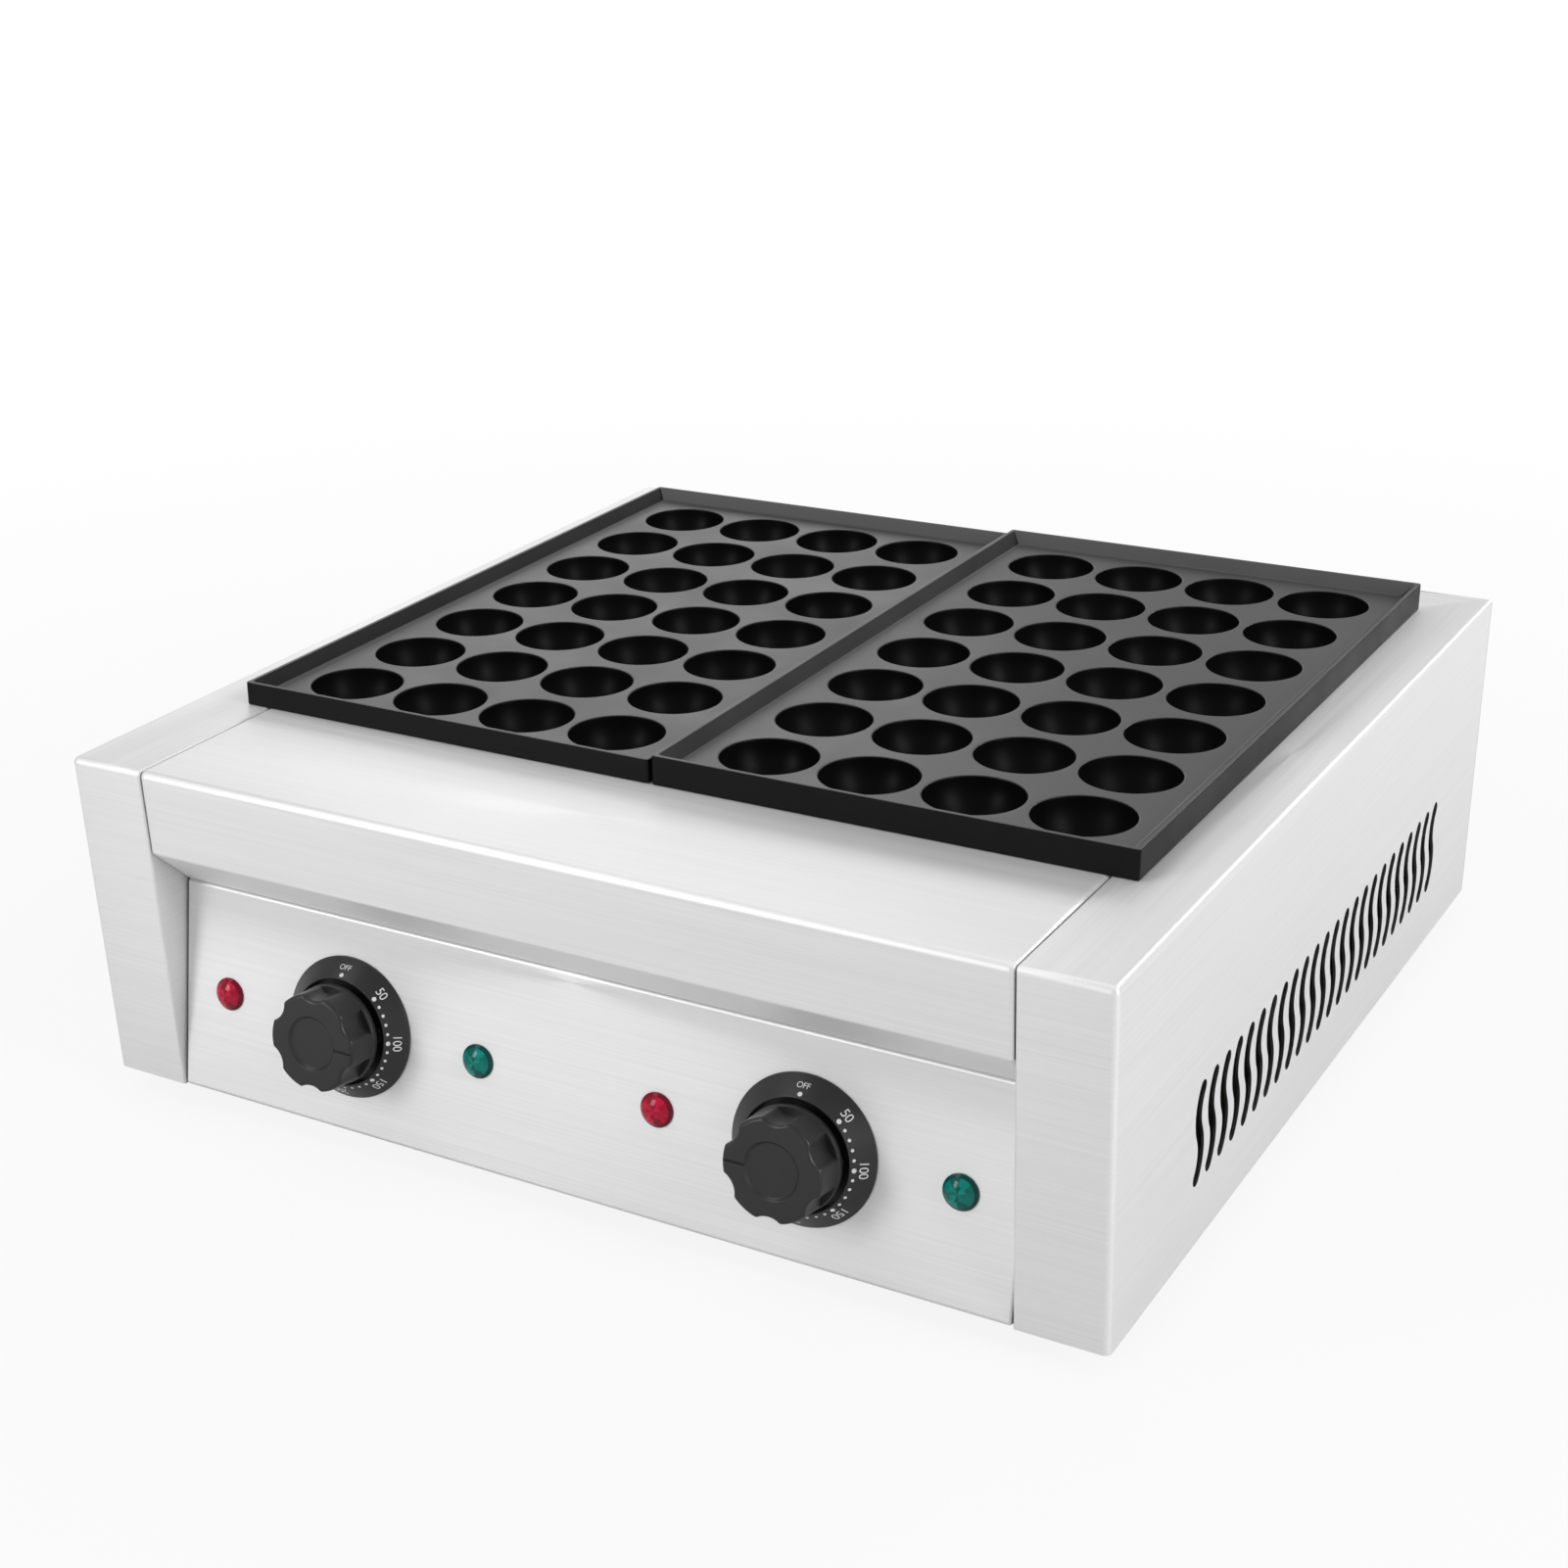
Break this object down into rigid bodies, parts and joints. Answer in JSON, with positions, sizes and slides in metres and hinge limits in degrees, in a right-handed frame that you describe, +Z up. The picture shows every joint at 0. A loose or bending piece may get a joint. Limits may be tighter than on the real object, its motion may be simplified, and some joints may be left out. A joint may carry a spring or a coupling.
{
  "type": "takoyaki grill",
  "caption": "Tabletop electric takoyaki grill: folded stainless body, lift-out cast plates with rows of round cups, thermostat knobs and pilot lamps under a hood.",
  "frame": {"origin": "centre of the footprint on the surface that the feet stand on", "axes": "+X to the user's right, +Y from the knobs to the back, +Z up"},
  "size_m": [0.458, 0.4912, 0.1705],
  "materials": {
    "stainless": "brushed stainless sheet",
    "liner_steel": "mill finish sheet inside the body",
    "plate_coating": "cast aluminium with a satin black non-stick coating",
    "heater_sheath": "heat-darkened stainless tube",
    "insulation": "pressed ceramic wool",
    "ceramic": "glazed ceramic",
    "copper": "drawn copper",
    "knob_plastic": "satin black thermoset",
    "bezel_paint": "black painted moulding with a white printed scale",
    "red_lens": "clear red, faceted",
    "green_lens": "clear green, faceted",
    "lamp_plastic": "black nylon",
    "switch_plastic": "moulded thermoset",
    "zinc_steel": "zinc-plated steel",
    "rubber": "black rubber",
    "gland_plastic": "black nylon",
    "brass": "turned brass"
  },
  "bodies": {
    "cooker_body": {"back_panel": "stainless", "back_panel_screws": "zinc_steel", "base_plate": "liner_steel", "base_screws": "zinc_steel", "centre_divider": "stainless", "control_panel": "stainless", "cord_gland": "gland_plastic", "earth_stud": "brass", "foot_nuts": "zinc_steel", "foot_screws": "zinc_steel", "front_hood": "stainless", "gland_nut": "gland_plastic", "heater_chamber": "liner_steel", "left_back_foot": "rubber", "left_dial_bezel": "bezel_paint", "left_front_foot": "rubber", "left_green_lamp_body": "lamp_plastic", "left_green_lamp_lens": "green_lens", "left_heater_bushes": "ceramic", "left_heater_element": "heater_sheath", "left_heater_rests": "liner_steel", "left_insulation_mat": "insulation", "left_red_lamp_body": "lamp_plastic", "left_red_lamp_lens": "red_lens", "left_reflector_pan": "liner_steel", "left_sensor_bulb": "copper", "left_side_panel": "stainless", "left_thermostat": "switch_plastic", "left_thermostat_screws": "zinc_steel", "right_back_foot": "rubber", "right_dial_bezel": "bezel_paint", "right_front_foot": "rubber", "right_green_lamp_body": "lamp_plastic", "right_green_lamp_lens": "green_lens", "right_heater_bushes": "ceramic", "right_heater_element": "heater_sheath", "right_heater_rests": "liner_steel", "right_insulation_mat": "insulation", "right_red_lamp_body": "lamp_plastic", "right_red_lamp_lens": "red_lens", "right_reflector_pan": "liner_steel", "right_sensor_bulb": "copper", "right_side_panel": "stainless", "right_thermostat": "switch_plastic", "right_thermostat_screws": "zinc_steel", "terminal_block": "ceramic"},
    "left_plate": {"left_grill_plate": "plate_coating"},
    "right_plate": {"right_grill_plate": "plate_coating"},
    "left_dial": {"left_knob": "knob_plastic", "left_spindle": "zinc_steel"},
    "right_dial": {"right_knob": "knob_plastic", "right_spindle": "zinc_steel"}
  },
  "joints": [
    {"name": "left_plate_lift", "type": "slide", "parent": "cooker_body", "child": "left_plate", "axis": [0, 0, 1], "range_m": [0, 0.06]},
    {"name": "right_plate_lift", "type": "slide", "parent": "cooker_body", "child": "right_plate", "axis": [0, 0, 1], "range_m": [0, 0.06]},
    {"name": "left_knob_turn", "type": "hinge", "parent": "cooker_body", "child": "left_dial", "pos_m": [-0.1047, -0.21667, 0.0561], "axis": [0, 0.9893, -0.1461], "range_deg": [-90, 210]},
    {"name": "right_knob_turn", "type": "hinge", "parent": "cooker_body", "child": "right_dial", "pos_m": [0.1047, -0.21667, 0.0561], "axis": [0, 0.9893, -0.1461], "range_deg": [-270, 30]}
  ]
}
